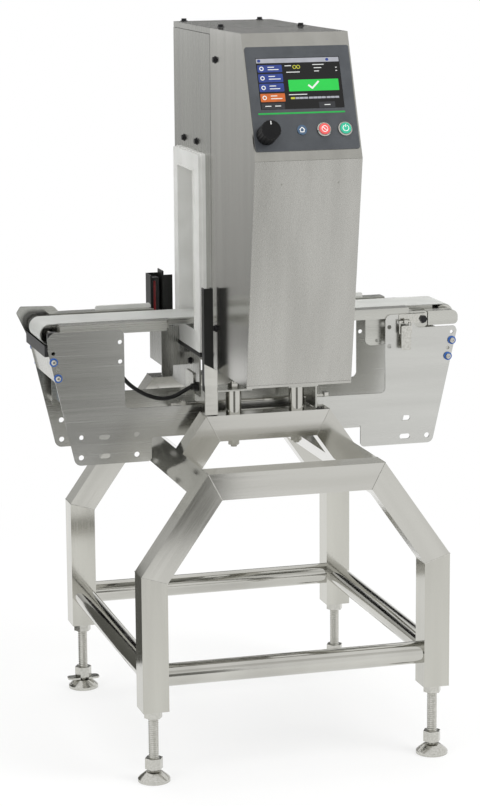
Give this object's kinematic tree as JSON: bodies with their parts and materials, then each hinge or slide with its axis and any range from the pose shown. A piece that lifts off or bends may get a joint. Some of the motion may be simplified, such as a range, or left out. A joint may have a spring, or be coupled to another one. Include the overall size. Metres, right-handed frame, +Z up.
{
  "type": "conveyor_metal_detector",
  "caption": "Conveyor metal detector: stainless head with belt tunnel and sloped touch panel, on a short belt conveyor and a tubular stand with levelling feet.",
  "frame": {"origin": "on the floor under the middle of the machine's bounding box", "axes": "X along the conveyor, from the drive end to the tail end; Y from the operator panel to the rear; Z up"},
  "size_m": [0.8503, 0.7666, 1.3864],
  "materials": {
    "stainless_tube": "satin ground stainless tube",
    "stainless_sheet": "fine brushed stainless sheet",
    "bright_steel": "bright turned or polished steel",
    "dark_bolts": "black oxide",
    "white_plastic": "off-white engineering plastic",
    "black_plastic": "black matt",
    "black_metal": "black satin paint",
    "overlay": "dark grey film",
    "screen": "dark display glass",
    "blue_seal": "blue sealing rubber",
    "black_rubber": "black",
    "belt": "white polyurethane belting",
    "red_cap": "red",
    "green_cap": "teal green",
    "blue_key": "grey blue",
    "coil_copper": "wound copper",
    "boards": "green laminate",
    "motor_paint": "grey enamel",
    "aluminium": "machined aluminium"
  },
  "bodies": {
    "machine": {"stand_legs": "stainless_tube", "stand_diagonals": "stainless_tube", "stand_cross_bars": "stainless_tube", "stand_rails": "stainless_tube", "leg_end_nuts": "bright_steel", "head_standoffs": "bright_steel", "standoff_studs": "bright_steel", "locating_rod": "bright_steel", "tail_axle": "bright_steel", "seal_screws": "bright_steel", "front_sensor_foot": "bright_steel", "button_rings": "bright_steel", "head_mount_brackets": "stainless_sheet", "base_frame": "stainless_sheet", "conveyor_front_plate": "stainless_sheet", "conveyor_rear_plate": "stainless_sheet", "conveyor_brackets": "stainless_sheet", "end_crossplates": "stainless_sheet", "belt_bed": "stainless_sheet", "bed_side_members": "stainless_sheet", "drive_bearings": "stainless_sheet", "tail_arms": "stainless_sheet", "latch_base": "stainless_sheet", "sensor_mount_box": "stainless_sheet", "coil_housing": "stainless_sheet", "coil_housing_cap": "stainless_sheet", "control_housing": "stainless_sheet", "front_cover": "stainless_sheet", "rubber_seals": "black_rubber", "timing_belt": "black_rubber", "motor_cable": "black_rubber", "seal_washers": "blue_seal", "belt_guides": "white_plastic", "tunnel_flanges": "white_plastic", "tunnel_liner": "white_plastic", "conveyor_belt": "belt", "scraper_bar": "black_plastic", "photo_sensors": "black_plastic", "cable_glands": "black_plastic", "front_sensor_post": "black_metal", "rear_sensor_channel": "black_metal", "gearmotor": "motor_paint", "search_coils": "coil_copper", "control_electronics": "boards", "display_bezel": "overlay", "display_screen": "screen", "hex_bolts": "dark_bolts"},
    "foot_fl": {"foot_front_left": "bright_steel"},
    "foot_fr": {"foot_front_right": "bright_steel"},
    "foot_rl": {"foot_rear_left": "bright_steel"},
    "foot_rr": {"foot_rear_right": "bright_steel"},
    "driven_roller": {"drive_roller": "bright_steel"},
    "idle_roller": {"tail_roller": "bright_steel"},
    "motor_shaft": {"motor_pulley": "aluminium"},
    "knob": {"rotary_knob": "black_plastic"},
    "home": {"home_key": "blue_key"},
    "stop": {"stop_button": "red_cap"},
    "start": {"start_button": "green_cap"},
    "lever": {"latch_lever": "stainless_sheet"},
    "bail": {"latch_bail": "bright_steel"}
  },
  "joints": [
    {"name": "foot_fl_screw", "type": "slide", "parent": "machine", "child": "foot_fl", "axis": [0, 0, -1], "range_m": [0, 0.04]},
    {"name": "foot_fr_screw", "type": "slide", "parent": "machine", "child": "foot_fr", "axis": [0, 0, -1], "range_m": [0, 0.04]},
    {"name": "foot_rl_screw", "type": "slide", "parent": "machine", "child": "foot_rl", "axis": [0, 0, -1], "range_m": [0, 0.04]},
    {"name": "foot_rr_screw", "type": "slide", "parent": "machine", "child": "foot_rr", "axis": [0, 0, -1], "range_m": [0, 0.04]},
    {"name": "drive_spin", "type": "hinge", "parent": "machine", "child": "driven_roller", "pos_m": [-0.38883, 0.07733, 0.806], "axis": [0, 1, 0], "continuous": true},
    {"name": "tail_spin", "type": "hinge", "parent": "machine", "child": "idle_roller", "pos_m": [0.40517, 0.07733, 0.806], "axis": [0, 1, 0], "continuous": true},
    {"name": "motor_spin", "type": "hinge", "parent": "machine", "child": "motor_shaft", "pos_m": [-0.32183, 0.13733, 0.69], "axis": [0, 1, 0], "continuous": true},
    {"name": "knob_turn", "type": "hinge", "parent": "machine", "child": "knob", "pos_m": [-0.06683, -0.3401, 1.20554], "axis": [0, -0.9288, 0.3707], "continuous": true},
    {"name": "home_press", "type": "slide", "parent": "machine", "child": "home", "axis": [0, 0.9288, -0.3707], "range_m": [0, 0.0005], "stiffness_N_per_m": 2000, "springref_m": -0.0003},
    {"name": "stop_press", "type": "slide", "parent": "machine", "child": "stop", "axis": [0, 0.9288, -0.3707], "range_m": [0, 0.003], "stiffness_N_per_m": 800, "springref_m": -0.001},
    {"name": "start_press", "type": "slide", "parent": "machine", "child": "start", "axis": [0, 0.9288, -0.3707], "range_m": [0, 0.003], "stiffness_N_per_m": 800, "springref_m": -0.001},
    {"name": "lever_swing", "type": "hinge", "parent": "machine", "child": "lever", "pos_m": [0.30817, -0.02367, 0.79], "axis": [-1, 0, 0], "range_deg": [0, 110]},
    {"name": "bail_swing", "type": "hinge", "parent": "lever", "child": "bail", "pos_m": [0.30817, -0.02367, 0.78], "axis": [-1, 0, 0], "range_deg": [-72, 0]}
  ],
  "couplings": [
    {"joint": "tail_spin", "follows": "drive_spin", "ratio": 1},
    {"joint": "motor_spin", "follows": "drive_spin", "ratio": 1},
    {"joint": "bail_swing", "follows": "lever_swing", "ratio": -0.65}
  ]
}
